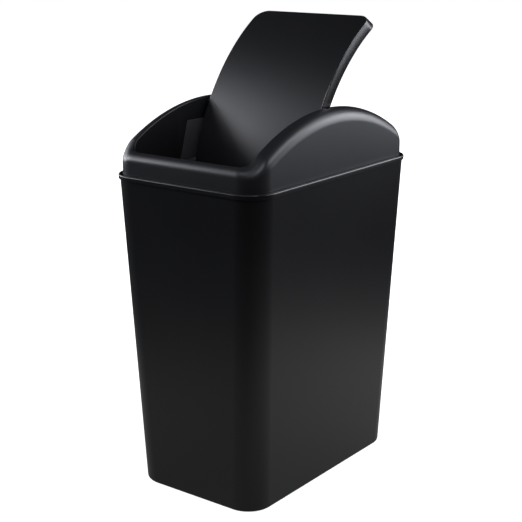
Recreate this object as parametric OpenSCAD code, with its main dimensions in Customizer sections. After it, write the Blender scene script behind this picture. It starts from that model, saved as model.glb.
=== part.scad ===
// Countertop waste bin: a drafted bucket, a vaulted lid frame that lifts off its rim,
// and a curved flap that swings on two stub pins in the frame.
// Units are millimetres. The origin is the middle of the footprint, on the table.
// X runs across the narrow side, Y along the long side, Z up. The flap is drawn open.

/* [Bucket] */
// Height of the rim above the table
rim_h = 250; // [190:1:320]
// Width across the bottom
base_w = 118.1; // [95:0.1:150]
// Length along the bottom
base_l = 190.1; // [150:0.1:240]
// How much wider the mouth is than the bottom
draft_w = 22; // [10:0.5:32]
// How much longer the mouth is than the bottom
draft_l = 19.4; // [10:0.1:32]
// Radius of the upright corners
corner_r = 20.7; // [14:0.1:30]
// Thickness of the walls
wall_t = 1.8; // [1.2:0.1:3]
// Thickness of the floor
floor_t = 2.2; // [1.5:0.1:4]
// How far the lip stands out past the wall
lip_out = 1.2; // [0.8:0.1:3]
// Height of the lip
lip_h = 3.6; // [3:0.1:8]
// Depth of the seat that carries the lid frame, below the rim
seat_h = 2.4; // [1.5:0.1:4]
// Radius of the edge round the bottom
base_round = 2.4; // [1:0.1:5]
// Width of the foot ring under the floor
foot_w = 9; // [5:0.5:14]
// Height of the hollow inside the foot ring
foot_h = 1.4; // [0.5:0.1:3]

/* [Lid frame] */
// Height of the frame's crest above the rim
crest_h = 48.5; // [42:0.5:70]
// Radius of the vault that the side arches and the flap follow
vault_r = 174; // [140:1:240]
// Height of the front and rear bars above the rim
bar_h = 17.2; // [13:0.1:26]
// Step from the lip's outer face in to the frame's face
frame_step = 3.5; // [3:0.1:5]
// Width of the flange that the frame stands on
flange_w = 1.2; // [1:0.1:2]
// Clearance between that flange and the lip round it
frame_gap = 0.5; // [0.3:0.05:1]
// Width of the rolled edge along each side arch
arch_roll_w = 11.7; // [7:0.1:15]
// Height of the rolled edge along each side arch
arch_roll_h = 11; // [7:0.5:15]
// Width of the rolled edge along the front and rear bars
bar_roll_w = 7.5; // [5:0.1:10]
// Height of the rolled edge along the front and rear bars
bar_roll_h = 7.2; // [5:0.1:10]
// Radius of the opening's corners
opening_r = 9; // [6:0.5:14]
// Thickness of the frame's walls
frame_t = 1.8; // [1.2:0.1:2.4]
// Radius of the bead along the opening's edge
bead_r = 1.4; // [0.6:0.1:1.6]
// Height of the lower edge of the skirt round the opening, above the rim
skirt_low = 2; // [0:0.5:5]
// Depth of the plug that locates the frame inside the rim
plug_h = 9; // [5:0.5:16]
// Clearance between the plug and the bucket's wall
plug_gap = 0.4; // [0.3:0.05:1]

/* [Swing flap] */
// Angle that the flap is drawn open, front edge down
open_angle = 60; // [0:0.5:90]
// Depth of the closed flap's face below the arches' crest
flap_sink = 0.3; // [0:0.1:2]
// Clearance along each side of the flap
flap_side_gap = 2; // [1.5:0.1:3]
// Clearance at each end of the flap
flap_end_gap = 3.5; // [2.5:0.1:6]
// Thickness of the flap
flap_t = 2; // [1.4:0.1:3]
// Depth of the rim round the flap
rim_d = 10; // [7:0.1:13]
// Radius of the flap's corners
flap_corner_r = 10; // [4:0.5:12]
// Radius of the edge between the flap's face and its rim
flap_edge_r = 1.5; // [0.8:0.1:1.8]

/* [Pivot] */
// Depth of the pivot axis below the crest
pivot_drop = 5; // [4.5:0.1:8]
// Radius of the stub pins
pin_r = 2.5; // [2:0.1:3]
// Running clearance round a pin
pin_gap = 0.05; // [0.02:0.01:0.1]
// Length of a pin past the shoulder at its root
pin_l = 3.6; // [2.5:0.1:4]
// Radius of the shoulder at a pin's root
shoulder_r = 4; // [3.2:0.1:5]
// Clearance between a pin's shoulder and the frame
shoulder_gap = 0.35; // [0.3:0.05:0.8]
// Width of the snap-in throat above a socket, as a share of the pin
throat = 0.92; // [0.85:0.01:0.98]
// Clearance past a pin's end
pin_end_gap = 0.5; // [0.3:0.1:1]
// Thickness of the wall behind a socket
socket_t = 1.2; // [0.8:0.1:2]
// Width of the pad below a socket, at its top edge
pad_w = 58; // [30:1:80]
// How far each flank of the pad spreads for each millimetre down
pad_flare = 0.32; // [0:0.01:0.5]
// Depth of the pad's top edge below the crest
pad_drop = 16.5; // [14:0.5:22]
// How far the pad stands proud of the skirt
pad_proud = 0.6; // [0.3:0.1:1]

/* [Hidden] */

plastic = "#26272a";
long_steps = 22;        // stations along each arch
turn_steps = 12;        // stations round each corner
roll_steps = 8;         // rings over the rolled edge
round_steps = 4;        // rings round a small edge
lip_round = 0.6;        // rounding of the lip's edges
flange_round = 0.3;     // rounding of the frame's flange
floor_round = 4;        // rounding inside the bucket's floor
ledge_h = 1.5;          // height over which the plug joins the frame's wall
overlap = 0.5;          // how far joined solids run into each other
block_w = 14;           // width of a socket's block
block_cover = 1.2;      // depth of a socket's block below the crest
pin_ease = 0.6;         // chamfer on a pin's end
drum_steps = 180;       // facets round the flap's curve
$fn = 64;

// Bucket sizes at the bottom and at the rim
base_hw = base_w / 2;
base_hl = base_l / 2;
rim_hw = base_hw + draft_w / 2;
rim_hl = base_hl + draft_l / 2;

// Frame sizes: its face, its plug and its opening
frame_hw = rim_hw + lip_out - frame_step;
frame_hl = rim_hl + lip_out - frame_step;
frame_r = corner_r + lip_out - frame_step;
seat_z = rim_h - seat_h;
plug_z = seat_z - plug_h;
plug_in = lip_out - frame_step + wall_t + plug_gap + draft_w / 2 * (rim_h - plug_z) / rim_h;
lip_in = lip_out - frame_step + flange_w + frame_gap;
open_hw = frame_hw - arch_roll_w;
open_hl = frame_hl - bar_roll_w;
crest_z = rim_h + crest_h;
bar_z = rim_h + bar_h;

// Flap sizes and pivot
flap_hw = open_hw - flap_side_gap;
flap_hl = open_hl - flap_end_gap;
pivot_z = crest_z - pivot_drop;
flap_r = vault_r - flap_sink;
vault_z0 = crest_z - vault_r;
pad_face = open_hw - pad_proud;
shoulder_x = open_hw - shoulder_gap;
socket_end = shoulder_x + pin_l + pin_end_gap;
pad_z = crest_z - pad_drop;
skirt_z = rim_h + skirt_low;

// ---------------------------------------------------------------- outlines and lofts

// Evenly spaced values from a to b in n steps, with or without the two ends
function steps(a, b, n) = [for (i = [0 : n]) a + (b - a) * i / n];
function inner_steps(a, b, n) = n < 2 ? [] : [for (i = [1 : n - 1]) a + (b - a) * i / n];

// A rounded rectangle as a list of points, anticlockwise from its right side
function outline(hw, hl, r, n_long) = [
    for (y = inner_steps(r - hl, hl - r, n_long)) [hw, y],
    for (a = steps(0, 90, turn_steps)) [hw - r + r * cos(a), hl - r + r * sin(a)],
    for (a = steps(90, 180, turn_steps)) [r - hw + r * cos(a), hl - r + r * sin(a)],
    for (y = inner_steps(hl - r, r - hl, n_long)) [-hw, y],
    for (a = steps(180, 270, turn_steps)) [r - hw + r * cos(a), r - hl + r * sin(a)],
    for (a = steps(270, 360, turn_steps)) [hw - r + r * cos(a), r - hl + r * sin(a)]
];

// A level ring: an outline lifted to one height
function level(pts, z) = [for (p = pts) [p[0], p[1], z]];

// Side faces between ring i and ring j, each of m points
function band(i, j, m) = [
    for (k = [0 : m - 1])
        let (n = (k + 1) % m)
        [i * m + k, j * m + k, j * m + n, i * m + n]
];

function flat_list(rings) = [for (ring = rings) for (p = ring) p];

// A solid skinned over rings, closed by its first and last ring
module loft(rings) {
    m = len(rings[0]);
    last = len(rings) - 1;
    walls = [for (i = [0 : last - 1]) for (f = band(i, i + 1, m)) f];
    caps = [[for (k = [0 : m - 1]) k], [for (k = [m - 1 : -1 : 0]) last * m + k]];
    polyhedron(points = flat_list(rings), faces = concat(walls, caps), convexity = 6);
}

// A hollow frame skinned over rings that close on themselves
module loft_loop(rings) {
    m = len(rings[0]);
    n = len(rings);
    faces = [for (i = [0 : n - 1]) for (f = band(i, (i + 1) % n, m)) f];
    polyhedron(points = flat_list(rings), faces = faces, convexity = 8);
}

// ---------------------------------------------------------------- bucket

// The bucket's outline at height z, grown outwards by `out`
function bucket_ring(z, out) =
    level(outline(base_hw + draft_w / 2 * z / rim_h + out,
                  base_hl + draft_l / 2 * z / rim_h + out,
                  corner_r + out, 1), z);

// Rings from the hollow under the floor, up the outside, over the lip and down the inside
function bucket_rings() = [
    bucket_ring(foot_h, -foot_w - foot_h),
    bucket_ring(0, -foot_w),
    for (a = steps(0, 90, round_steps))
        bucket_ring(base_round * (1 - cos(a)), base_round * (sin(a) - 1)),
    bucket_ring(rim_h - lip_h, 0),
    bucket_ring(rim_h - lip_h, lip_out - lip_round),
    bucket_ring(rim_h - lip_h + lip_round, lip_out),
    for (a = steps(0, 90, round_steps))
        bucket_ring(rim_h - lip_round * (1 - sin(a)), lip_out - lip_round * (1 - cos(a))),
    bucket_ring(rim_h, lip_in),
    bucket_ring(seat_z, lip_in),
    bucket_ring(seat_z, -wall_t),
    for (a = steps(0, 90, round_steps))
        bucket_ring(foot_h + floor_t + floor_round * (1 - sin(a)),
                    floor_round * (cos(a) - 1) - wall_t)
];

module bucket() {
    color(plastic) loft(bucket_rings());
}

// ---------------------------------------------------------------- lid frame

// Height of the vault over a point at y
function vault_z(y) = vault_z0 + sqrt(vault_r * vault_r - y * y);

// How much a corner station belongs to the arch: 1 at the arch, 0 at the bar
function ease(u) = 1 - u * u * (3 - 2 * u);

// The same share for every station, in the order of outline()
arch_share = [
    for (y = inner_steps(0, 1, long_steps)) 1,
    for (u = steps(0, 1, turn_steps)) ease(u),
    for (u = steps(1, 0, turn_steps)) ease(u),
    for (y = inner_steps(0, 1, long_steps)) 1,
    for (u = steps(0, 1, turn_steps)) ease(u),
    for (u = steps(1, 0, turn_steps)) ease(u)
];

// The frame's face moved in by `in`, and the opening's edge moved out by `out`
function face_line(in) = outline(frame_hw - in, frame_hl - in, frame_r - in, long_steps);
function edge_line(out) = outline(open_hw + out, open_hl + out, opening_r + out, long_steps);

// Height of the crest at a station, and of the rolled edge below it
function crest_at(s, y) = bar_z + (vault_z(y) - bar_z) * arch_share[s];
function roll_at(s) = bar_roll_h + (arch_roll_h - bar_roll_h) * arch_share[s];

// A ring a share f of the way from line a to line b, sunk below the crest.
// `rise` is the part of the roll's height that it has climbed.
function hood_ring(a, b, f, rise, sink) = [
    for (s = [0 : len(a) - 1])
        let (p = a[s] + (b[s] - a[s]) * f)
        [p[0], p[1], crest_at(s, p[1]) - roll_at(s) * (1 - rise) - sink]
];

// Rings round the frame's wall: face, rolled edge, bead, skirt, underside, inside and plug
function frame_rings() =
    let (
        face = face_line(0),
        inside = face_line(frame_t),
        edge = edge_line(0),
        bead = edge_line(bead_r),
        back = edge_line(frame_t)
    )
    [
        level(face_line(-flange_w), seat_z),
        level(face_line(-flange_w), rim_h - flange_round),
        level(face_line(flange_round - flange_w), rim_h),
        level(face, rim_h),
        for (a = steps(0, 90, roll_steps)) hood_ring(face, bead, 1 - cos(a), sin(a), 0),
        for (a = inner_steps(0, 90, round_steps))
            hood_ring(bead, edge, sin(a), 1, bead_r * (1 - cos(a))),
        hood_ring(edge, edge, 0, 1, bead_r),
        level(edge, skirt_z),
        level(back, skirt_z),
        for (a = steps(90, 0, roll_steps)) hood_ring(inside, back, 1 - cos(a), sin(a), frame_t),
        level(inside, seat_z + ledge_h),
        level(face_line(plug_in + frame_t), seat_z - overlap),
        level(face_line(plug_in + frame_t), plug_z),
        level(face_line(plug_in), plug_z),
        level(face_line(plug_in), seat_z)
    ];

// The pad that stands proud of the skirt under a socket, and the socket's block behind it
module socket_pad() {
    top = pad_w / 2;
    foot = top + pad_flare * (pad_z - skirt_z);
    translate([pad_face, 0, 0])
        rotate([90, 0, 90])
        linear_extrude(pad_proud + overlap)
        polygon([[-top, pad_z], [top, pad_z], [foot, skirt_z], [-foot, skirt_z]]);
    translate([open_hw + overlap, -block_w / 2, pad_z])
        cube([socket_end + socket_t - open_hw - overlap, block_w, pad_drop - block_cover]);
}

// A socket for a pin, open at the top through a throat that the pin snaps past
module socket_cut() {
    bore_r = pin_r + pin_gap;
    half = pin_r * throat;
    depth = socket_end - pad_face + overlap;
    lead = pivot_drop + overlap;
    translate([pad_face - overlap, 0, pivot_z]) {
        rotate([0, 90, 0]) cylinder(r = bore_r, h = depth);
        rotate([90, 0, 90])
            linear_extrude(depth)
            polygon([
                [-half, 0],
                [half, 0],
                [half, bore_r],
                [half + lead - bore_r, lead],
                [-half - lead + bore_r, lead],
                [-half, bore_r]
            ]);
    }
}

module lid_frame() {
    color(plastic)
        difference() {
            union() {
                loft_loop(frame_rings());
                socket_pad();
                mirror([1, 0, 0]) socket_pad();
            }
            socket_cut();
            mirror([1, 0, 0]) socket_cut();
        }
}

// ---------------------------------------------------------------- swing flap

// A rounded rectangle in the plane, centred
module plate_outline(hw, hl, r) {
    square([2 * hw, 2 * (hl - r)], center = true);
    square([2 * (hw - r), 2 * hl], center = true);
    for (x = [r - hw, hw - r])
        for (y = [r - hl, hl - r])
            translate([x, y]) circle(r = r);
}

// A drum of the flap's curve round the X axis, its two rims rounded
module drum(r, hw, edge) {
    translate([0, 0, vault_z0])
        rotate([0, 90, 0])
        rotate_extrude($fn = drum_steps) {
            translate([0, edge - hw]) square([r, 2 * (hw - edge)]);
            translate([0, -hw]) square([r - edge, 2 * hw]);
            for (x = [edge - hw, hw - edge])
                translate([r - edge, x]) circle(r = edge);
        }
}

// The end view of the flap's top: its curve, rounded over at both ends
module end_view() {
    mid_y = flap_hl - flap_edge_r;
    mid_r = flap_r - flap_edge_r;
    mid_z = sqrt(mid_r * mid_r - mid_y * mid_y);
    touch_y = mid_y * flap_r / mid_r;
    intersection() {
        circle(r = flap_r, $fn = 2 * drum_steps);
        translate([-touch_y, 0]) square([2 * touch_y, flap_r + overlap]);
    }
    translate([-flap_hl, 0]) square([2 * flap_hl, mid_z]);
    for (y = [-mid_y, mid_y])
        translate([y, mid_z]) circle(r = flap_edge_r);
}

// The flap's tray: a curved face with a flange round it
module flap_tray() {
    depth = flap_r - rim_d;
    difference() {
        intersection() {
            drum(flap_r, flap_hw, flap_edge_r);
            translate([0, 0, plug_z])
                linear_extrude(crest_z - plug_z)
                plate_outline(flap_hw, flap_hl, flap_corner_r);
            translate([-open_hw, 0, vault_z0])
                rotate([90, 0, 90])
                linear_extrude(2 * open_hw) end_view();
        }
        translate([-open_hw, 0, vault_z0])
            rotate([0, 90, 0]) cylinder(r = depth, h = 2 * open_hw, $fn = drum_steps);
        intersection() {
            drum(flap_r - flap_t, flap_hw - flap_t, overlap);
            translate([0, 0, plug_z])
                linear_extrude(crest_z - plug_z)
                plate_outline(flap_hw - flap_t, flap_hl - flap_t, flap_corner_r - flap_t);
        }
    }
}

// A stub pin on its shoulder, with its end eased
module stub_pin() {
    root = flap_hw - flap_t / 2;
    tip = shoulder_x - root + pin_l;
    translate([root, 0, pivot_z])
        rotate([0, 90, 0])
        rotate_extrude()
        polygon([
            [0, 0],
            [shoulder_r, 0],
            [shoulder_r, shoulder_x - root],
            [pin_r, shoulder_x - root],
            [pin_r, tip - pin_ease],
            [pin_r - pin_ease, tip],
            [0, tip]
        ]);
}

module swing_flap() {
    color(plastic)
        translate([0, 0, pivot_z])
        rotate([open_angle, 0, 0])
        translate([0, 0, -pivot_z]) {
            flap_tray();
            stub_pin();
            mirror([1, 0, 0]) stub_pin();
        }
}

bucket();
lid_frame();
swing_flap();
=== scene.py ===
"""A countertop waste bin in satin black plastic.

It is a drafted bucket, a vaulted lid frame that drops into its rim, and a curved flap that swings on two
stub pins. Lengths are metres in the frame of the CAD model.
"""

import logging
import math
from dataclasses import dataclass, field
from enum import Enum
from typing import Callable, Iterable, Sequence

import bmesh
import bpy
from bmesh.types import BMEdge, BMesh, BMFace, BMVert
from mathutils import Matrix, Vector

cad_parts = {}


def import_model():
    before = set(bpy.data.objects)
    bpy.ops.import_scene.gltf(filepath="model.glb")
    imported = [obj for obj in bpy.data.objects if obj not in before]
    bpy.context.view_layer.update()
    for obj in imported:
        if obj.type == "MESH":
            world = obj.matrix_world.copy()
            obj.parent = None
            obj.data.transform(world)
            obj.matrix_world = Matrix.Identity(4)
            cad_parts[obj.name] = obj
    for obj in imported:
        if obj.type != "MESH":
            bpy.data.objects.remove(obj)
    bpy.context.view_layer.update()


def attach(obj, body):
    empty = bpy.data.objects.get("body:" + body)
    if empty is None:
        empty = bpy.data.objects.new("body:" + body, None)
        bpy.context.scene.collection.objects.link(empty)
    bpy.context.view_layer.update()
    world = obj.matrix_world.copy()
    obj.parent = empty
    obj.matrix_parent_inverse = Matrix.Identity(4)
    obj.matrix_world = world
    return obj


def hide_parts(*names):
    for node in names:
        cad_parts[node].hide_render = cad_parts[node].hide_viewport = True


log = logging.getLogger("waste_bin")

MM = 0.001
SHARP_ANGLE = math.radians(32)
EASE_STEPS = 3
WELD = 1e-7
HAIR = 0.01 * MM
PLASTIC_IOR = 1.5


class Part(Enum):
    """The three mouldings, each named as its CAD node."""

    BUCKET = "bucket"
    LID = "lid_frame"
    FLAP = "swing_flap"


class Body(Enum):
    """The bodies that the mouldings ride on."""

    BIN = "bin"
    LID = "lid"
    FLAP = "flap"


class Cut(Enum):
    """What a Boolean modifier does with its tool."""

    JOIN = "UNION"
    REMOVE = "DIFFERENCE"


# ---------------------------------------------------------------------------- shader wiring


class Wire:
    """A socket of a node tree. Arithmetic on it adds Math nodes."""

    def __init__(self, shop: "NodeShop", socket: bpy.types.NodeSocket) -> None:
        """Keeps the tree's workshop and the socket."""
        self.shop = shop
        self.socket = socket

    def _math(self, operation: str, *values: "Wire | float") -> "Wire":
        """Adds a Math node.

        Args:
            operation: the node's operation.
            values: its inputs, in order.

        Returns:
            The node's result.
        """
        return self.shop.node("ShaderNodeMath", {"operation": operation}, dict(enumerate(values)))

    def __add__(self, other: "Wire | float") -> "Wire":
        """self + other."""
        return self._math("ADD", self, other)

    __radd__ = __add__

    def __sub__(self, other: "Wire | float") -> "Wire":
        """self - other."""
        return self._math("SUBTRACT", self, other)

    def __rsub__(self, other: "Wire | float") -> "Wire":
        """other - self."""
        return self._math("SUBTRACT", other, self)

    def __mul__(self, other: "Wire | float") -> "Wire":
        """self * other."""
        return self._math("MULTIPLY", self, other)

    __rmul__ = __mul__

    def __truediv__(self, other: "Wire | float") -> "Wire":
        """self / other."""
        return self._math("DIVIDE", self, other)

    def clamped(self) -> "Wire":
        """The value held between 0 and 1."""
        return self._math("MINIMUM", self._math("MAXIMUM", self, 0.0), 1.0)


class NodeShop:
    """Makes the nodes of one tree and joins them."""

    def __init__(self, tree: bpy.types.NodeTree) -> None:
        """Empties the tree."""
        self.tree = tree
        tree.nodes.clear()

    def node(
        self,
        kind: str,
        settings: dict[str, object] | None = None,
        inputs: dict[str | int, object] | None = None,
        out: str | int = 0,
    ) -> Wire:
        """Adds one node.

        Args:
            kind: the node's type.
            settings: attributes that are set first.
            inputs: a value or a Wire for each socket, by name or place.
            out: which output is returned.

        Returns:
            The chosen output, or the first input of a node that has no output.
        """
        made = self.tree.nodes.new(kind)
        for name, value in (settings or {}).items():
            setattr(made, name, value)
        for name, value in (inputs or {}).items():
            if isinstance(value, Wire):
                self.tree.links.new(value.socket, made.inputs[name])
            else:
                made.inputs[name].default_value = value
        socket = made.outputs[out] if len(made.outputs) else made.inputs[0]
        return Wire(self, socket)

    def noise(self, coords: Wire, scale: float, detail: float = 2.0, rough: float = 0.5) -> Wire:
        """A noise pattern.

        Args:
            coords: where it is read.
            scale: features per metre.
            detail: octaves.
            rough: how strong the finer octaves are.

        Returns:
            The pattern, about 0.5 on average.
        """
        return self.node(
            "ShaderNodeTexNoise",
            {"noise_dimensions": "3D"},
            {"Vector": coords, "Scale": scale, "Detail": detail, "Roughness": rough},
        )


# ---------------------------------------------------------------------------- finishes


@dataclass(frozen=True)
class SatinPlastic:
    """Black injection-moulded plastic with a fine spark-eroded grain.

    The colour goes from colour to bloom in soft clouds and specks, the roughness varies with them, and the
    bump has the grain and a very shallow swell. Streaks above 0 add the upright lines of a polished core.
    """

    name: str
    colour: tuple[float, float, float] = (0.0062, 0.0065, 0.0072)
    bloom: tuple[float, float, float] = (0.0105, 0.0109, 0.0118)
    roughness: float = 0.37
    roughness_spread: float = 0.05
    grain_size: float = 0.42 * MM
    grain_depth: float = 0.006 * MM
    speck_size: float = 1.2 * MM
    swell_size: float = 91.6667 * MM
    swell_depth: float = 0.05 * MM
    streaks: float = 0.0
    streak_size: float = 1.1111 * MM
    streak_stretch: float = 0.02
    specular: float = 0.5
    cloud_tint: float = 0.7
    speck_tint: float = 0.3
    tint_base: float = 0.25
    cloud_gloss: float = 1.6
    speck_gloss: float = 0.8

    def material(self) -> bpy.types.Material:
        """Builds the material.

        Returns:
            A node material that reads Object coordinates.
        """
        made = bpy.data.materials.new(self.name)
        made.use_nodes = True
        shop = NodeShop(made.node_tree)
        place = shop.node("ShaderNodeTexCoord", out="Object")
        cloudy = shop.noise(place, 1.0 / self.swell_size, detail=3.0, rough=0.55)
        grain = shop.noise(place, 1.0 / self.grain_size, detail=1.0, rough=0.6)
        speck = shop.noise(place, 1.0 / self.speck_size, detail=2.0, rough=0.5)
        drawn = self._streak(shop, place) * self.streaks
        tint = (cloudy * self.cloud_tint + speck * self.speck_tint + drawn - self.tint_base).clamped()
        colour = shop.node(
            "ShaderNodeMix",
            {"data_type": "RGBA"},
            {0: tint, 6: (*self.colour, 1.0), 7: (*self.bloom, 1.0)},
            out=2,
        )
        uneven = (cloudy - 0.5) * self.cloud_gloss + (speck - 0.5) * self.speck_gloss + drawn
        rough = (uneven * self.roughness_spread + self.roughness).clamped()
        height = (grain + drawn) * self.grain_depth + cloudy * self.swell_depth
        bump = shop.node("ShaderNodeBump", {}, {"Strength": 1.0, "Distance": 1.0, "Height": height})
        shader = shop.node(
            "ShaderNodeBsdfPrincipled",
            {},
            {
                "Base Color": colour,
                "Roughness": rough,
                "Normal": bump,
                "IOR": PLASTIC_IOR,
                "Specular IOR Level": self.specular,
            },
        )
        shop.node("ShaderNodeOutputMaterial", {}, {"Surface": shader})
        return made

    def _streak(self, shop: NodeShop, place: Wire) -> Wire:
        """Upright lines from the mould's polished core.

        Args:
            shop: the material's workshop.
            place: Object coordinates.

        Returns:
            A pattern drawn out along Z, about 0 on average.
        """
        drawn_out = shop.node(
            "ShaderNodeMapping",
            {"vector_type": "POINT"},
            {"Vector": place, "Scale": (1.0, 1.0, self.streak_stretch)},
        )
        return shop.noise(drawn_out, 1.0 / self.streak_size, detail=2.0, rough=0.6) - 0.5


OUTER_WALL = SatinPlastic(
    "black_wall",
    colour=(0.0098, 0.0101, 0.0112),
    bloom=(0.0142, 0.0146, 0.0158),
    roughness=0.31,
    swell_depth=0.07 * MM,
)
INNER_WALL = SatinPlastic("black_core_side", roughness=0.46, streaks=0.5, grain_depth=0.003 * MM)
HOOD = SatinPlastic(
    "black_hood",
    colour=(0.0195, 0.0200, 0.0222),
    bloom=(0.0240, 0.0246, 0.0270),
    roughness=0.36,
)
SKIRT = SatinPlastic("black_skirt", roughness=0.42)
# The pads' colour, several times lighter than the skirt round them, is painted light for the bright patch on
# them.
PAD_PAINTED_LIGHT = SatinPlastic(
    "black_pad_painted_light",
    colour=(0.044, 0.0455, 0.049),
    bloom=(0.056, 0.0575, 0.061),
    roughness=0.50,
)
FLAP_SKIN = SatinPlastic(
    "black_flap",
    colour=(0.0108, 0.0112, 0.0124),
    bloom=(0.0152, 0.0157, 0.0170),
    roughness=0.38,
    swell_depth=0.04 * MM,
)
# The rim's colour, darker than the flap's skin, is painted shade; its lower roughness and specular are its
# finish.
FLAP_RIM_PAINTED_SHADE = SatinPlastic(
    "black_flap_rim_painted_shade",
    colour=(0.0080, 0.0083, 0.0092),
    bloom=(0.0115, 0.0119, 0.0130),
    roughness=0.25,
    grain_depth=0.002 * MM,
    specular=0.3,
)
# The edge rounding's colour, lighter than the flap's skin, is a painted highlight; its low roughness and
# high specular are its finish.
FLAP_EDGE_PAINTED_HIGHLIGHT = SatinPlastic(
    "black_flap_edge_painted_highlight",
    colour=(0.0195, 0.0200, 0.0222),
    bloom=(0.0240, 0.0246, 0.0270),
    roughness=0.24,
    grain_depth=0.002 * MM,
    specular=0.9,
)


# ---------------------------------------------------------------------------- drawing walls


@dataclass(frozen=True)
class Outline:
    """A rounded rectangle in plan."""

    half_w: float
    half_l: float
    corner: float

    def grown(self, by: float) -> "Outline":
        """The outline moved outwards, its corners with it."""
        return Outline(self.half_w + by, self.half_l + by, self.corner + by)

    def toward(self, other: "Outline", share: float) -> "Outline":
        """The outline a share of the way to another.

        Args:
            other: the outline at a share of 1.
            share: how far it goes, from 0 to 1.

        Returns:
            The outline between.
        """
        return Outline(
            self.half_w + (other.half_w - self.half_w) * share,
            self.half_l + (other.half_l - self.half_l) * share,
            self.corner + (other.corner - self.corner) * share,
        )

    def centre(self, corner: int) -> Vector:
        """The middle of corner 0 to 3, anticlockwise from the right rear."""
        sx = (1, -1, -1, 1)[corner]
        sy = (1, 1, -1, -1)[corner]
        return Vector((sx * (self.half_w - self.corner), sy * (self.half_l - self.corner), 0.0))


class Ring:
    """The loop at the free edge of a wall while the wall is drawn.

    Each vertex keeps the zone that it is in: corners 0 to 3, or one of the two long sides.
    """

    RIGHT_SIDE = 4
    LEFT_SIDE = 5

    def __init__(self, bm: BMesh, outline: Outline, turns: int, stations: int) -> None:
        """Draws the first loop: a rectangle whose corners are rounded.

        Args:
            bm: the mesh to draw in.
            outline: the loop's outline.
            turns: edges round each corner.
            stations: edges along each long side.
        """
        self.bm = bm
        self.outline = outline
        grid = bmesh.ops.create_grid(bm, x_segments=1, y_segments=1, size=1.0)
        bmesh.ops.scale(bm, vec=(outline.half_w, outline.half_l, 1.0), verts=grid["verts"])
        bmesh.ops.bevel(
            bm,
            geom=grid["verts"],
            offset=outline.corner,
            offset_type="OFFSET",
            segments=turns,
            profile=0.5,
            affect="VERTICES",
            material=-1,
            clamp_overlap=False,
        )
        bmesh.ops.delete(bm, geom=bm.faces[:], context="FACES_ONLY")
        long_sides = [e for e in bm.edges if e.calc_length() > outline.half_l and stations > 1]
        if long_sides:
            bmesh.ops.subdivide_edges(bm, edges=long_sides, cuts=stations - 1)
        self.group = bm.verts.layers.int.new("group")
        self.arch = bm.verts.layers.float.new("arch")
        self.verts = bm.verts[:]
        self.edges = bm.edges[:]
        self.first = self.edges
        for vert in self.verts:
            self._sort(vert)

    def _sort(self, vert: BMVert) -> None:
        """Notes which corner or side a vertex is on, and how much it belongs to the side arch.

        Args:
            vert: a vertex of the first loop.
        """
        x, y = vert.co.x, vert.co.y
        straight = self.outline.half_l - self.outline.corner
        if abs(y) < straight - HAIR / 10:
            vert[self.group] = self.RIGHT_SIDE if x > 0 else self.LEFT_SIDE
            vert[self.arch] = 1.0
            return
        corner = (0 if x > 0 else 1) if y > 0 else (3 if x > 0 else 2)
        arm = vert.co - self.outline.centre(corner)
        turn = math.atan2(abs(arm.y), abs(arm.x)) / (math.pi / 2)
        vert[self.group] = corner
        vert[self.arch] = 1.0 - turn * turn * (3.0 - 2.0 * turn)

    def extrude(self) -> None:
        """Adds a band of faces and makes its far edge the free edge."""
        made = bmesh.ops.extrude_edge_only(self.bm, edges=self.edges)["geom"]
        self.verts = [g for g in made if isinstance(g, BMVert)]
        fresh = set(self.verts)
        self.edges = [g for g in made if isinstance(g, BMEdge) and fresh.issuperset(g.verts)]

    def fit(self, outline: Outline) -> None:
        """Moves the loop to another outline: corners are scaled and shifted, sides slide with them.

        Args:
            outline: the outline that the loop gets.
        """
        ratio = outline.corner / self.outline.corner
        for corner in range(4):
            old, new = self.outline.centre(corner), outline.centre(corner)
            arc = [v for v in self.verts if v[self.group] == corner]
            bmesh.ops.scale(self.bm, vec=(ratio, ratio, 1.0), space=Matrix.Translation(-old), verts=arc)
            bmesh.ops.translate(self.bm, vec=new - old, verts=arc)
        stretch = (outline.half_l - outline.corner) / (self.outline.half_l - self.outline.corner)
        for group, sign in ((self.RIGHT_SIDE, 1.0), (self.LEFT_SIDE, -1.0)):
            line = [v for v in self.verts if v[self.group] == group]
            bmesh.ops.scale(self.bm, vec=(1.0, stretch, 1.0), verts=line)
            shift = sign * (outline.half_w - self.outline.half_w)
            bmesh.ops.translate(self.bm, vec=(shift, 0.0, 0.0), verts=line)
        self.outline = outline

    def lift(self, height: Callable[[float, float], float]) -> None:
        """Sets the loop's height from each vertex's Y and its share of the arch."""
        for vert in self.verts:
            vert.co.z = height(vert.co.y, vert[self.arch])


@dataclass(frozen=True)
class Stop:
    """One loop of a wall: its outline, its height and how far its edge is eased."""

    outline: Outline
    height: Callable[[float, float], float]
    ease: float = 0.0


def level(z: float) -> Callable[[float, float], float]:
    """A height that is the same all round."""
    return lambda y, arch: z


def quarter(steps: int, first: int = 0) -> list[tuple[float, float]]:
    """Cosine and sine over a quarter turn.

    Args:
        steps: how many parts the turn has.
        first: the first step that is kept.

    Returns:
        The pairs, the last at 90 degrees.
    """
    angles = [math.pi / 2 * i / steps for i in range(first, steps + 1)]
    return [(math.cos(a), math.sin(a)) for a in angles]


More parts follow.
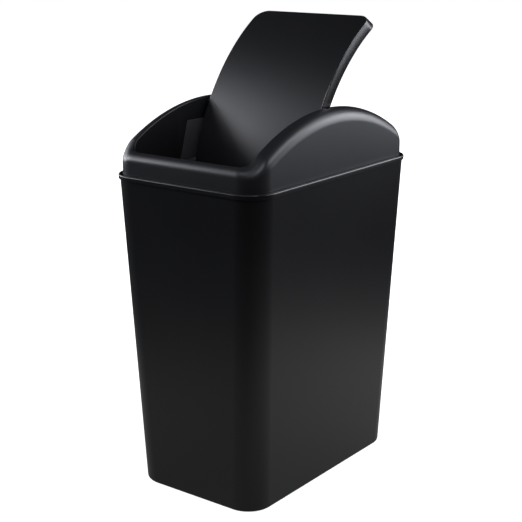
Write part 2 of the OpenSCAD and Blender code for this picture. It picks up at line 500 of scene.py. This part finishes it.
def draw_wall(stops: Sequence[Stop], turns: int, stations: int, closed: bool) -> BMesh:
    """Draws a wall loop by loop.

    Args:
        stops: the loops in order.
        turns: edges round each corner.
        stations: edges along each long side.
        closed: the last loop joins the first; otherwise both are filled.

    Returns:
        A closed mesh with outward normals.
    """
    bm = bmesh.new()
    ring = Ring(bm, stops[0].outline, turns, stations)
    ring.lift(stops[0].height)
    eased: list[tuple[float, list[BMEdge]]] = [(stops[0].ease, ring.edges)]
    for stop in stops[1:]:
        ring.extrude()
        ring.fit(stop.outline)
        ring.lift(stop.height)
        eased.append((stop.ease, ring.edges))
    if closed:
        bmesh.ops.bridge_loops(bm, edges=ring.first + ring.edges)
    else:
        for loop in (ring.first, ring.edges):
            bmesh.ops.edgeloop_fill(bm, edges=loop)
    bmesh.ops.recalc_face_normals(bm, faces=bm.faces[:])
    for radius in sorted({r for r, _ in eased if r > 0}, reverse=True):
        edges = [e for r, loop in eased if r == radius for e in loop if e.is_valid]
        soften(bm, edges, radius)
    return bm


def soften(bm: BMesh, edges: Iterable[BMEdge], radius: float) -> None:
    """Rounds edges.

    Args:
        bm: the mesh that they belong to.
        edges: the edges.
        radius: how far the rounding reaches from each edge.
    """
    bmesh.ops.bevel(
        bm,
        geom=list(edges),
        offset=radius,
        offset_type="OFFSET",
        segments=EASE_STEPS,
        profile=0.5,
        affect="EDGES",
        material=-1,
        clamp_overlap=True,
    )


def finish_mesh(bm: BMesh, name: str) -> bpy.types.Object:
    """Turns a bmesh into an object with smooth faces and crisp edges.

    Args:
        bm: the mesh; it is freed.
        name: the object's name.

    Returns:
        The linked object.
    """
    for face in bm.faces:
        face.smooth = True
    for edge in bm.edges:
        edge.smooth = len(edge.link_faces) == 2 and edge.calc_face_angle(0.0) < SHARP_ANGLE
    mesh = bpy.data.meshes.new(name)
    bm.to_mesh(mesh)
    bm.free()
    made = bpy.data.objects.new(name, mesh)
    bpy.context.scene.collection.objects.link(made)
    return made


def combine(base: BMesh, tools: Sequence[tuple[Cut, BMesh]], name: str) -> BMesh:
    """Joins solids to a solid, or removes them from it.

    Args:
        base: the solid to work on; it is freed.
        tools: what is done and with which solid, in order; each is freed.
        name: a name for the workpiece.

    Returns:
        The result as a new bmesh.
    """
    work = finish_mesh(base, name + "_blank")
    spare = [work]
    for number, (cut, solid) in enumerate(tools):
        tool = finish_mesh(solid, f"{name}_tool_{number}")
        modifier = work.modifiers.new(tool.name, "BOOLEAN")
        modifier.operation = cut.value
        modifier.solver = "EXACT"
        modifier.object = tool
        spare.append(tool)
    view = bpy.context.evaluated_depsgraph_get()
    result = bmesh.new()
    result.from_mesh(bpy.data.meshes.new_from_object(work.evaluated_get(view)))
    bmesh.ops.remove_doubles(result, verts=result.verts[:], dist=WELD)
    bmesh.ops.dissolve_degenerate(result, edges=result.edges[:], dist=WELD)
    for thing in spare:
        bpy.data.objects.remove(thing)
    return result


def block(low: Vector, high: Vector) -> BMesh:
    """A solid box.

    Args:
        low: its corner with the lowest X, Y and Z.
        high: the corner opposite.

    Returns:
        A closed mesh.
    """
    bm = bmesh.new()
    cube = bmesh.ops.create_cube(bm, size=1.0)
    bmesh.ops.scale(bm, vec=high - low, verts=cube["verts"])
    bmesh.ops.translate(bm, vec=(low + high) / 2, verts=cube["verts"])
    return bm


def upright_plate(points: Sequence[tuple[float, float]], x0: float, x1: float) -> BMesh:
    """A plate whose outline is given in Y and Z, between two values of X.

    Args:
        points: the outline's corners.
        x0: the face nearer the middle of the bin.
        x1: the other face.

    Returns:
        A closed mesh.
    """
    bm = bmesh.new()
    face = bm.faces.new([bm.verts.new((x0, y, z)) for y, z in points])
    made = bmesh.ops.extrude_face_region(bm, geom=[face], use_keep_orig=True)["geom"]
    far = [g for g in made if isinstance(g, BMVert)]
    bmesh.ops.translate(bm, vec=(x1 - x0, 0.0, 0.0), verts=far)
    bmesh.ops.recalc_face_normals(bm, faces=bm.faces[:])
    return bm


def turned(profile: Sequence[tuple[float, float]], centre: Vector, steps: int) -> BMesh:
    """A solid turned round an axis along X.

    Args:
        profile: pairs of distance along X and radius, first and last on the axis.
        centre: a point on the axis.
        steps: facets round the axis.

    Returns:
        A closed mesh.
    """
    bm = bmesh.new()
    verts = [bm.verts.new(centre + Vector((x, 0.0, r))) for x, r in profile]
    edges = [bm.edges.new(pair) for pair in zip(verts, verts[1:])]
    bmesh.ops.spin(
        bm,
        geom=verts + edges,
        cent=centre,
        axis=(1.0, 0.0, 0.0),
        angle=2 * math.pi,
        steps=steps,
        use_merge=True,
    )
    bmesh.ops.remove_doubles(bm, verts=bm.verts[:], dist=WELD)
    bmesh.ops.recalc_face_normals(bm, faces=bm.faces[:])
    return bm


def mirrored(bm: BMesh) -> BMesh:
    """A copy of a solid on the other side of X = 0.

    Args:
        bm: the solid; it stays as it is.

    Returns:
        The copy.
    """
    other = bm.copy()
    bmesh.ops.scale(other, vec=(-1.0, 1.0, 1.0), verts=other.verts[:])
    bmesh.ops.reverse_faces(other, faces=other.faces[:])
    return other


def dress(piece: bpy.types.Object, part: Part, body: Body, finishes: Sequence[SatinPlastic]) -> None:
    """Gives a piece its finishes and its body, and hides the CAD node that it stands for.

    Args:
        piece: the finished object.
        part: the CAD node.
        body: the body that the piece rides on.
        finishes: a finish for each material index.
    """
    for finish in finishes:
        piece.data.materials.append(finish.material())
    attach(piece, body.value)
    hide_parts(part.value)
    log.info("%s: %d faces, rides on %s", piece.name, len(piece.data.polygons), body.value)


# ---------------------------------------------------------------------------- mouldings


@dataclass
class Bucket:
    """The drafted outer bin with its foot ring, floor, wall and lip."""

    rim_h: float = 250 * MM
    base_w: float = 118.1 * MM
    base_l: float = 190.1 * MM
    draft_w: float = 22 * MM
    draft_l: float = 19.4 * MM
    corner_r: float = 20.7 * MM
    wall_t: float = 1.8 * MM
    floor_t: float = 2.2 * MM
    lip_out: float = 1.2 * MM
    lip_h: float = 3.6 * MM
    lip_in: float = -0.6 * MM
    lip_round: float = 1.1 * MM
    lip_foot_round: float = 0.2 * MM
    seat_h: float = 2.4 * MM
    base_round: float = 2.4 * MM
    foot_w: float = 9 * MM
    foot_h: float = 1.4 * MM
    floor_round: float = 4 * MM
    foot_ease: float = 0.3 * MM
    seat_ease: float = 0.2 * MM
    core_low: float = 0.5 * MM
    wall_lean: float = 0.3
    floor_lean: float = 0.9
    turns: int = 28
    round_steps: int = 8
    lip_steps: int = 5

    def at(self, z: float, out: float, ease: float = 0.0) -> Stop:
        """A loop of the wall.

        Args:
            z: its height.
            out: how far it stands out from the outer face.
            ease: how far its edge is eased.

        Returns:
            The loop.
        """
        rise = z / self.rim_h / 2
        plan = Outline(
            self.base_w / 2 + self.draft_w * rise,
            self.base_l / 2 + self.draft_l * rise,
            self.corner_r,
        )
        return Stop(plan.grown(out), level(z), ease)

    def stops(self) -> list[Stop]:
        """The loops of the wall.

        Returns:
            The loops from the hollow under the floor, over the lip, to the floor inside.
        """
        lip_low = self.rim_h - self.lip_h
        floor_z = self.foot_h + self.floor_t
        under = [
            self.at(self.foot_h, -self.foot_w - self.foot_h),
            self.at(0.0, -self.foot_w, self.foot_ease),
        ]
        edge = [
            self.at(self.base_round * (1 - c), self.base_round * (s - 1))
            for c, s in quarter(self.round_steps)
        ]
        lip = [
            self.at(lip_low, 0.0),
            self.at(lip_low, self.lip_out - self.lip_foot_round),
            self.at(lip_low + self.lip_foot_round, self.lip_out),
        ]
        top = [
            self.at(self.rim_h - self.lip_round * (1 - s), self.lip_out - self.lip_round * (1 - c))
            for c, s in quarter(self.lip_steps)
        ]
        seat = [
            self.at(self.rim_h, self.lip_in, self.seat_ease),
            self.at(self.rim_h - self.seat_h, self.lip_in),
            self.at(self.rim_h - self.seat_h, -self.wall_t, self.seat_ease),
        ]
        inside = [
            self.at(floor_z + self.floor_round * (1 - s), self.floor_round * (c - 1) - self.wall_t)
            for c, s in quarter(self.round_steps)
        ]
        return under + edge + lip + top + seat + inside

    def finish_of(self, face: BMFace) -> int:
        """Chooses a face's finish.

        Args:
            face: a face of the bucket.

        Returns:
            0 for the outer wall, 1 for the core side of the wall and the floor.
        """
        middle = face.calc_center_median()
        to_axis = -Vector((middle.x, middle.y, 0.0))
        turned_in = face.normal.dot(to_axis) > self.wall_lean * to_axis.length
        wall = turned_in and middle.z > self.foot_h + self.core_low
        turned_up = face.normal.z > self.floor_lean
        floor = turned_up and abs(middle.x) < self.base_w / 2 and middle.z < self.rim_h / 2
        return 1 if wall or floor else 0

    def build(self) -> bpy.types.Object:
        """Builds and dresses the bucket.

        Returns:
            The piece.
        """
        bm = draw_wall(self.stops(), self.turns, stations=1, closed=False)
        for face in bm.faces:
            face.material_index = self.finish_of(face)
        piece = finish_mesh(bm, "bucket_shell")
        dress(piece, Part.BUCKET, Body.BIN, (OUTER_WALL, INNER_WALL))
        return piece


@dataclass
class LidFrame:
    """The vaulted hood: face, rolled edge, bead, skirt and plug, with a pad and a socket on each side."""

    bucket: Bucket
    crest_h: float = 48.5 * MM
    vault_r: float = 174 * MM
    bar_h: float = 17.2 * MM
    frame_step: float = 3.5 * MM
    flange_w: float = 1.2 * MM
    flange_sink: float = 0.8 * MM
    flange_round: float = 0.3 * MM
    arch_roll_w: float = 11.7 * MM
    arch_roll_h: float = 11 * MM
    bar_roll_w: float = 7.5 * MM
    bar_roll_h: float = 7.2 * MM
    opening_r: float = 9 * MM
    frame_t: float = 1.8 * MM
    bead_r: float = 1.4 * MM
    skirt_low: float = 2 * MM
    plug_h: float = 9 * MM
    plug_gap: float = 0.4 * MM
    ledge_h: float = 1.5 * MM
    pivot_drop: float = 5 * MM
    pin_r: float = 2.5 * MM
    pin_l: float = 3.6 * MM
    throat: float = 0.92
    pad_w: float = 58 * MM
    pad_flare: float = 0.32
    pad_drop: float = 16.5 * MM
    pad_proud: float = 0.6 * MM
    pad_ease: float = 0.35 * MM
    shoulder_gap: float = 0.35 * MM
    pin_gap: float = 0.05 * MM
    pin_end_gap: float = 0.5 * MM
    socket_t: float = 1.2 * MM
    block_w: float = 14 * MM
    block_cover: float = 1.2 * MM
    overlap: float = 0.5 * MM
    skirt_ease: float = 0.4 * MM
    plug_ease_in: float = 0.3 * MM
    plug_ease_out: float = 0.5 * MM
    skirt_margin: float = 0.1 * MM
    pad_lean: float = 0.9
    turns: int = 24
    stations: int = 64
    roll_steps: int = 18
    bead_steps: int = 6
    hollow_steps: int = 10
    bore_steps: int = 64

    def __post_init__(self) -> None:
        """Works out the sizes that follow from the others."""
        b = self.bucket
        self.crest_z = b.rim_h + self.crest_h
        self.bar_z = b.rim_h + self.bar_h
        self.seat_z = b.rim_h - b.seat_h
        self.skirt_z = b.rim_h + self.skirt_low
        self.plug_z = self.seat_z - self.plug_h
        self.vault_z0 = self.crest_z - self.vault_r
        self.pivot_z = self.crest_z - self.pivot_drop
        inward = b.lip_out - self.frame_step
        self.face = b.at(b.rim_h, inward).outline
        self.edge = Outline(
            self.face.half_w - self.arch_roll_w, self.face.half_l - self.bar_roll_w, self.opening_r
        )
        narrowing = b.draft_w / 2 * (b.rim_h - self.plug_z) / b.rim_h
        self.plug_in = inward + b.wall_t + self.plug_gap + narrowing
        self.pad_face = self.edge.half_w - self.pad_proud
        self.pad_z = self.crest_z - self.pad_drop
        self.shoulder_x = self.edge.half_w - self.shoulder_gap
        self.socket_end = self.shoulder_x + self.pin_l + self.pin_end_gap
        self.bore_r = self.pin_r + self.pin_gap

    def crest(self, rise: float, sink: float = 0.0) -> Callable[[float, float], float]:
        """Heights along the vault.

        Args:
            rise: the share of the rolled edge's height that is climbed.
            sink: depth below that.

        Returns:
            A height for a vertex's Y and its share of the arch.
        """

        def height(y: float, arch: float) -> float:
            """The height at y."""
            vault = self.vault_z0 + math.sqrt(self.vault_r**2 - y * y)
            top = self.bar_z + (vault - self.bar_z) * arch
            roll = self.bar_roll_h + (self.arch_roll_h - self.bar_roll_h) * arch
            return top - roll * (1 - rise) - sink

        return height

    def stops(self) -> list[Stop]:
        """The loops round the frame's wall.

        Returns:
            The loops from the flange over the crest, down the skirt, up inside and down the plug.
        """
        face, edge = self.face, self.edge
        bead, back = edge.grown(self.bead_r), edge.grown(self.frame_t)
        inside = face.grown(-self.frame_t)
        plug = face.grown(-self.plug_in)
        flange_z = self.bucket.rim_h - self.flange_sink
        outer = [
            Stop(face.grown(self.flange_w), level(self.seat_z)),
            Stop(face.grown(self.flange_w), level(flange_z), self.flange_round),
            Stop(face, level(flange_z)),
        ]
        rolled = [
            Stop(face.toward(bead, 1 - c), self.crest(s)) for c, s in quarter(self.roll_steps)
        ]
        lipped = [
            Stop(bead.toward(edge, s), self.crest(1.0, self.bead_r * (1 - c)))
            for c, s in quarter(self.bead_steps, first=1)
        ]
        skirt = [
            Stop(edge, level(self.skirt_z), self.skirt_ease),
            Stop(back, level(self.skirt_z), self.skirt_ease),
        ]
        hollow = [
            Stop(inside.toward(back, 1 - c), self.crest(s, self.frame_t))
            for c, s in reversed(quarter(self.hollow_steps))
        ]
        lower = [
            Stop(inside, level(self.seat_z + self.ledge_h)),
            Stop(plug.grown(-self.frame_t), level(self.seat_z - self.overlap)),
            Stop(plug.grown(-self.frame_t), level(self.plug_z), self.plug_ease_in),
            Stop(plug, level(self.plug_z), self.plug_ease_out),
            Stop(plug, level(self.seat_z)),
        ]
        return outer + rolled + lipped + skirt + hollow + lower

    def pad(self) -> BMesh:
        """The raised pad under the right socket, its edges eased.

        Returns:
            A closed mesh.
        """
        top = self.pad_w / 2
        foot = top + self.pad_flare * (self.pad_z - self.skirt_z)
        corners = [(-top, self.pad_z), (top, self.pad_z), (foot, self.skirt_z), (-foot, self.skirt_z)]
        bm = upright_plate(corners, self.pad_face, self.edge.half_w + self.overlap)
        near = [e for e in bm.edges if all(v.co.x < self.edge.half_w - HAIR for v in e.verts)]
        soften(bm, near, self.pad_ease)
        return bm

    def socket_block(self) -> BMesh:
        """The block behind the skirt that holds the right socket.

        Returns:
            A closed mesh.
        """
        half = self.block_w / 2
        low = Vector((self.edge.half_w + self.overlap, -half, self.pad_z))
        high = Vector((self.socket_end + self.socket_t, half, self.crest_z - self.block_cover))
        return block(low, high)

    def socket_bore(self) -> BMesh:
        """The round hole that the right pin turns in.

        Returns:
            A closed mesh of the hole.
        """
        x0, x1 = self.pad_face - self.overlap, self.socket_end
        r = self.bore_r
        centre = Vector((0.0, 0.0, self.pivot_z))
        return turned([(x0, 0.0), (x0, r), (x1, r), (x1, 0.0)], centre, self.bore_steps)

    def socket_throat(self) -> BMesh:
        """The flared slot above the right socket that its pin snaps past.

        Returns:
            A closed mesh of the slot.
        """
        half = self.pin_r * self.throat
        r = self.bore_r
        lead = self.pivot_drop + self.overlap
        wide = half + lead - r
        z = self.pivot_z
        right = [(half, z), (half, z + r), (wide, z + lead)]
        left = [(-y, height) for y, height in reversed(right)]
        return upright_plate(right + left, self.pad_face - self.overlap, self.socket_end)

    def finish_of(self, face: BMFace) -> int:
        """Chooses a face's finish.

        Args:
            face: a face of the lid frame.

        Returns:
            0 for the hood, 1 for the skirt inside the opening, 2 for a pad, whose lighter colour is painted
            light.
        """
        middle = face.calc_center_median()
        near = self.edge.grown(self.skirt_margin)
        if abs(middle.x) > near.half_w or abs(middle.y) > near.half_l:
            return 0
        straight = abs(middle.y) < self.edge.half_l - self.opening_r
        on_pad = straight and abs(middle.x) < self.edge.half_w - self.pad_proud / 2
        return 2 if on_pad and abs(face.normal.x) > self.pad_lean else 1

    def build(self) -> bpy.types.Object:
        """Builds and dresses the lid frame.

        Returns:
            The piece.
        """
        wall = draw_wall(self.stops(), self.turns, self.stations, closed=True)
        steps: list[tuple[Cut, BMesh]] = []
        for cut, solid in (
            (Cut.JOIN, self.pad()),
            (Cut.JOIN, self.socket_block()),
            (Cut.REMOVE, self.socket_bore()),
            (Cut.REMOVE, self.socket_throat()),
        ):
            steps += [(cut, mirrored(solid)), (cut, solid)]
        solid = combine(wall, steps, "lid")
        for face in solid.faces:
            face.material_index = self.finish_of(face)
        piece = finish_mesh(solid, "lid_hood")
        dress(piece, Part.LID, Body.LID, (HOOD, SKIRT, PAD_PAINTED_LIGHT))
        return piece


@dataclass
class SwingFlap:
    """The curved tray that closes the opening, with its rim and two stub pins."""

    lid: LidFrame
    open_angle: float = math.radians(60)
    sink: float = 0.3 * MM
    side_gap: float = 2 * MM
    end_gap: float = 3.5 * MM
    thickness: float = 2 * MM
    rim_d: float = 10 * MM
    corner_r: float = 10 * MM
    edge_r: float = 1.1 * MM
    shoulder_r: float = 4 * MM
    nook_r: float = 0.8 * MM
    rim_ease: float = 0.4 * MM
    rim_lean: float = 0.25
    face_lean: float = 0.99
    pin_ease: float = 0.6 * MM
    turns: int = 14
    stations: int = 64
    nook_steps: int = 4
    edge_steps: int = 6
    pin_steps: int = 48

    def __post_init__(self) -> None:
        """Works out the sizes that follow from the lid's opening."""
        self.half_w = self.lid.edge.half_w - self.side_gap
        self.half_l = self.lid.edge.half_l - self.end_gap
        self.face_r = self.lid.vault_r - self.sink
        self.pivot = Vector((0.0, 0.0, self.lid.pivot_z))

    def curved(self, depth: float) -> Callable[[float, float], float]:
        """Heights on the flap's curve.

        Args:
            depth: how far below the face the curve lies.

        Returns:
            A height for a vertex's Y.
        """

        def height(y: float, arch: float) -> float:
            """The height at y."""
            return self.lid.vault_z0 + math.sqrt((self.face_r - depth) ** 2 - y * y)

        return height

    def stops(self) -> list[Stop]:
        """The loops of the tray.

        Returns:
            The loops from the hollow side's middle, round the rim, to the middle of the face.
        """
        outer = Outline(self.half_w, self.half_l, self.corner_r)
        inner = outer.grown(-self.thickness)
        t, d, e, n = self.thickness, self.rim_d, self.edge_r, self.nook_r
        nook = [
            Stop(inner.grown(-n * (1 - s)), self.curved(t + n * (1 - c)))
            for c, s in quarter(self.nook_steps)
        ]
        rim = [
            Stop(inner, self.curved(d), self.rim_ease),
            Stop(outer, self.curved(d), self.rim_ease),
        ]
        edge = [
            Stop(outer.grown(-e * (1 - c)), self.curved(e * (1 - s)))
            for c, s in quarter(self.edge_steps)
        ]
        return nook + rim + edge

    def tray(self) -> BMesh:
        """The closed flap without its pins: its two filled faces are ruled straight across the bin.

        Returns:
            The tray.
        """
        bm = draw_wall(self.stops(), self.turns, self.stations, closed=False)
        for plate in sorted(bm.faces, key=lambda f: len(f.verts))[-2:]:
            rows: dict[int, list[BMVert]] = {}
            for vert in plate.verts:
                rows.setdefault(round(vert.co.y / WELD), []).append(vert)
            for row in [r for r in rows.values() if len(r) == 2]:
                bmesh.ops.connect_verts(bm, verts=row)
        return bm

    def pin(self) -> BMesh:
        """The right stub pin on its shoulder, its end eased.

        Returns:
            A closed mesh.
        """
        root = self.half_w - self.thickness / 2
        step = self.lid.shoulder_x
        tip = step + self.lid.pin_l
        r, ease = self.lid.pin_r, self.pin_ease
        profile = [
            (root, 0.0),
            (root, self.shoulder_r),
            (step, self.shoulder_r),
            (step, r),
            (tip - ease, r),
            (tip, r - ease),
            (tip, 0.0),
        ]
        return turned(profile, self.pivot, self.pin_steps)

    def finish_of(self, face: BMFace) -> int:
        """Chooses a face's finish.

        Args:
            face: a face of the closed flap.

        Returns:
            0 for the skin, 1 for the rim and the pins' sides, coloured darker as painted shade, 2 for the
            rounding beside the face, coloured lighter as a painted highlight.
        """
        lean = abs(face.normal.z)
        if lean < self.rim_lean:
            return 1
        if lean > self.face_lean or face.normal.z < 0.0:
            return 0
        beside = abs(face.calc_center_median().x) > self.half_w - self.edge_r
        return 2 if beside else 0

    def build(self) -> bpy.types.Object:
        """Builds the flap, swings it open and dresses it.

        Returns:
            The piece.
        """
        pin = self.pin()
        solid = combine(self.tray(), [(Cut.JOIN, mirrored(pin)), (Cut.JOIN, pin)], "flap")
        for face in solid.faces:
            face.material_index = self.finish_of(face)
        bmesh.ops.rotate(
            solid,
            cent=self.pivot,
            matrix=Matrix.Rotation(self.open_angle, 3, "X"),
            verts=solid.verts[:],
        )
        piece = finish_mesh(solid, "flap_tray")
        dress(piece, Part.FLAP, Body.FLAP, (FLAP_SKIN, FLAP_RIM_PAINTED_SHADE, FLAP_EDGE_PAINTED_HIGHLIGHT))
        return piece


# ---------------------------------------------------------------------------- studio


def direction(azimuth: float, elevation: float) -> Vector:
    """The way from the bin to a viewer or a lamp.

    Args:
        azimuth: degrees round Z, with 0 at -Y and 90 at +X.
        elevation: degrees above level.

    Returns:
        A vector of length 1.
    """
    a, e = math.radians(azimuth), math.radians(elevation)
    return Vector((math.sin(a) * math.cos(e), -math.cos(a) * math.cos(e), math.sin(e)))


@dataclass(frozen=True)
class SoftBox:
    """A rectangular lamp that looks at the bin: its direction in degrees and the radiance of its face."""

    name: str
    azimuth: float
    elevation: float
    radiance: float
    colour: tuple[float, float, float] = (0.965, 0.98, 1.055)
    distance: float = 2.2
    width: float = 1.15
    height: float = 0.55

    def place(self, target: Vector) -> None:
        """Hangs the lamp.

        Args:
            target: the point that it looks at.
        """
        away = direction(self.azimuth, self.elevation)
        data = bpy.data.lights.new(self.name, "AREA")
        data.shape = "RECTANGLE"
        data.size = self.width
        data.size_y = self.height
        data.color = self.colour
        data.energy = self.radiance * math.pi * self.width * self.height
        lamp = bpy.data.objects.new(self.name, data)
        bpy.context.scene.collection.objects.link(lamp)
        lamp.location = target + away * self.distance
        lamp.rotation_euler = away.to_track_quat("Z", "Y").to_euler()


@dataclass(frozen=True)
class Viewpoint:
    """The photograph's camera, solved from the bin's outline: its angles are in degrees."""

    azimuth: float = 37.1605
    elevation: float = 15.5976
    roll: float = -0.1357
    place: tuple[float, float, float] = (0.57388, -0.76431, 0.43661)
    lens: float = 85.23
    sensor: float = 36.0
    nearest: float = 0.01
    farthest: float = 50.0

    def set_up(self) -> None:
        """Makes the camera and gives it to the scene."""
        back = direction(self.azimuth, self.elevation)
        right = Vector((0.0, 0.0, 1.0)).cross(back).normalized()
        up = back.cross(right)
        roll = math.radians(self.roll)
        right_rolled = right * math.cos(roll) + up * math.sin(roll)
        up_rolled = up * math.cos(roll) - right * math.sin(roll)
        data = bpy.data.cameras.new("viewpoint")
        data.lens = self.lens
        data.sensor_width = self.sensor
        data.clip_start = self.nearest
        data.clip_end = self.farthest
        camera = bpy.data.objects.new("viewpoint", data)
        bpy.context.scene.collection.objects.link(camera)
        turn = Matrix((right_rolled, up_rolled, back)).transposed().to_4x4()
        camera.matrix_world = Matrix.Translation(self.place) @ turn
        bpy.context.scene.camera = camera


@dataclass
class Studio:
    """The pale floor, the white surroundings, the soft boxes and the camera."""

    viewpoint: Viewpoint = Viewpoint()
    target: Vector = field(default_factory=lambda: Vector((0.0, 0.0, 0.2)))
    boxes: tuple[SoftBox, ...] = (
        SoftBox("right_low", 150.0, 6.0, 5.1),
        SoftBox("right_middle", 150.0, 20.0, 8.2),
        SoftBox("right_high", 150.0, 35.0, 1.9),
        SoftBox("right_side", 120.0, 35.0, 5.0),
        SoftBox("left_middle", -60.0, 20.0, 10.1),
        SoftBox("left_high", -60.0, 35.0, 2.1),
        SoftBox("left_front", -30.0, 35.0, 0.6),
        SoftBox("side_low", -90.0, 6.0, 6.4),
        SoftBox("side_middle", -90.0, 20.0, 2.0),
        SoftBox("front_high", 30.0, 35.0, 0.8),
        SoftBox("corner", 54.0, 45.0, 14.0, width=0.35, height=0.35),
        SoftBox("front_top", 0.0, 52.0, 2.2),
    )
    pool_glow: float = 0.37
    pool_inner: float = 0.28
    pool_outer: float = 0.68
    pool_foot_shadow: float = 0.21
    pool_least: float = 0.6
    pool_turn: float = 0.3
    pool_lead: float = 0.4
    floor_radius: float = 6.0
    floor_edges: int = 96
    floor_grey: float = 0.79
    floor_mottle: float = 0.02
    floor_mottles: float = 3.0
    floor_glow: float = 0.86

    def surroundings(self) -> None:
        """A world that the camera sees as white and that leaves the light on the bin to the lamps."""
        world = bpy.data.worlds.new("room")
        bpy.context.scene.world = world
        world.use_nodes = True
        shop = NodeShop(world.node_tree)
        seen = shop.node("ShaderNodeLightPath", out="Is Camera Ray")
        sky = shop.node("ShaderNodeBackground", {}, {"Color": (1.0, 1.0, 1.0, 1.0), "Strength": seen})
        shop.node("ShaderNodeOutputWorld", {}, {"Surface": sky})

    def pool(self, shop: NodeShop, place: Wire, reach: Wire) -> Wire:
        """The light that the floor throws back: a pool round the bin, brighter on its right and rear, with a
        painted shadow that dims it near the bin's foot.

        Args:
            shop: the floor material's workshop.
            place: Object coordinates.
            reach: the distance from the middle of the floor.

        Returns:
            The strength of the glow.
        """
        axis = shop.node(
            "ShaderNodeVectorMath",
            {"operation": "DOT_PRODUCT"},
            {0: place, 1: (1.0, 1.0, 0.0)},
            out="Value",
        )
        fall = ((self.pool_outer - reach) / (self.pool_outer - self.pool_inner)).clamped()
        spare = 1.0 - self.pool_least
        # Painted shadow: the glow dims towards the bin's foot.
        rise = (reach / self.pool_foot_shadow).clamped() * spare + self.pool_least
        side = (axis / self.pool_turn + self.pool_lead).clamped() * spare + self.pool_least
        return fall * fall * rise * side * self.pool_glow

    def floor(self) -> bpy.types.Object:
        """A wide round floor: the camera sees it pale with the bin's shadow, the bin sees the pool of light.

        Returns:
            The floor.
        """
        bm = bmesh.new()
        bmesh.ops.create_circle(bm, cap_ends=True, segments=self.floor_edges, radius=self.floor_radius)
        piece = finish_mesh(bm, "studio_floor")
        made = bpy.data.materials.new("pale_floor")
        made.use_nodes = True
        shop = NodeShop(made.node_tree)
        place = shop.node("ShaderNodeTexCoord", out="Object")
        reach = shop.node("ShaderNodeVectorMath", {"operation": "LENGTH"}, {0: place}, out="Value")
        thrown = shop.node("ShaderNodeEmission", {}, {"Strength": self.pool(shop, place, reach)})
        grey = shop.noise(place, self.floor_mottles) * self.floor_mottle + self.floor_grey
        tint = shop.node("ShaderNodeCombineColor", {}, {0: grey, 1: grey, 2: grey})
        pale = shop.node("ShaderNodeBsdfDiffuse", {}, {"Color": tint})
        backdrop = reach.clamped() * (1.0 - self.floor_glow) + self.floor_glow
        glow = shop.node("ShaderNodeEmission", {}, {"Strength": backdrop})
        lit = shop.node("ShaderNodeAddShader", {}, {0: pale, 1: glow})
        seen = shop.node("ShaderNodeLightPath", out="Is Camera Ray")
        mixed = shop.node("ShaderNodeMixShader", {}, {0: seen, 1: thrown, 2: lit})
        shop.node("ShaderNodeOutputMaterial", {}, {"Surface": mixed})
        piece.data.materials.append(made)
        return piece

    def build(self) -> None:
        """Sets up the whole studio."""
        bpy.context.scene.view_settings.view_transform = "Standard"
        self.surroundings()
        self.floor()
        for box in self.boxes:
            box.place(self.target)
        self.viewpoint.set_up()
        log.info("studio: %d soft boxes", len(self.boxes))


def main() -> None:
    """Loads the CAD frame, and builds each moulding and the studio."""
    logging.basicConfig(level=logging.INFO, format="%(name)s: %(message)s")
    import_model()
    bucket = Bucket()
    lid = LidFrame(bucket)
    flap = SwingFlap(lid)
    for maker in (bucket, lid, flap):
        piece = maker.build()
        log.info("made %s", piece.name)
    Studio().build()
    bpy.context.view_layer.update()


if __name__ == "__main__":
    main()
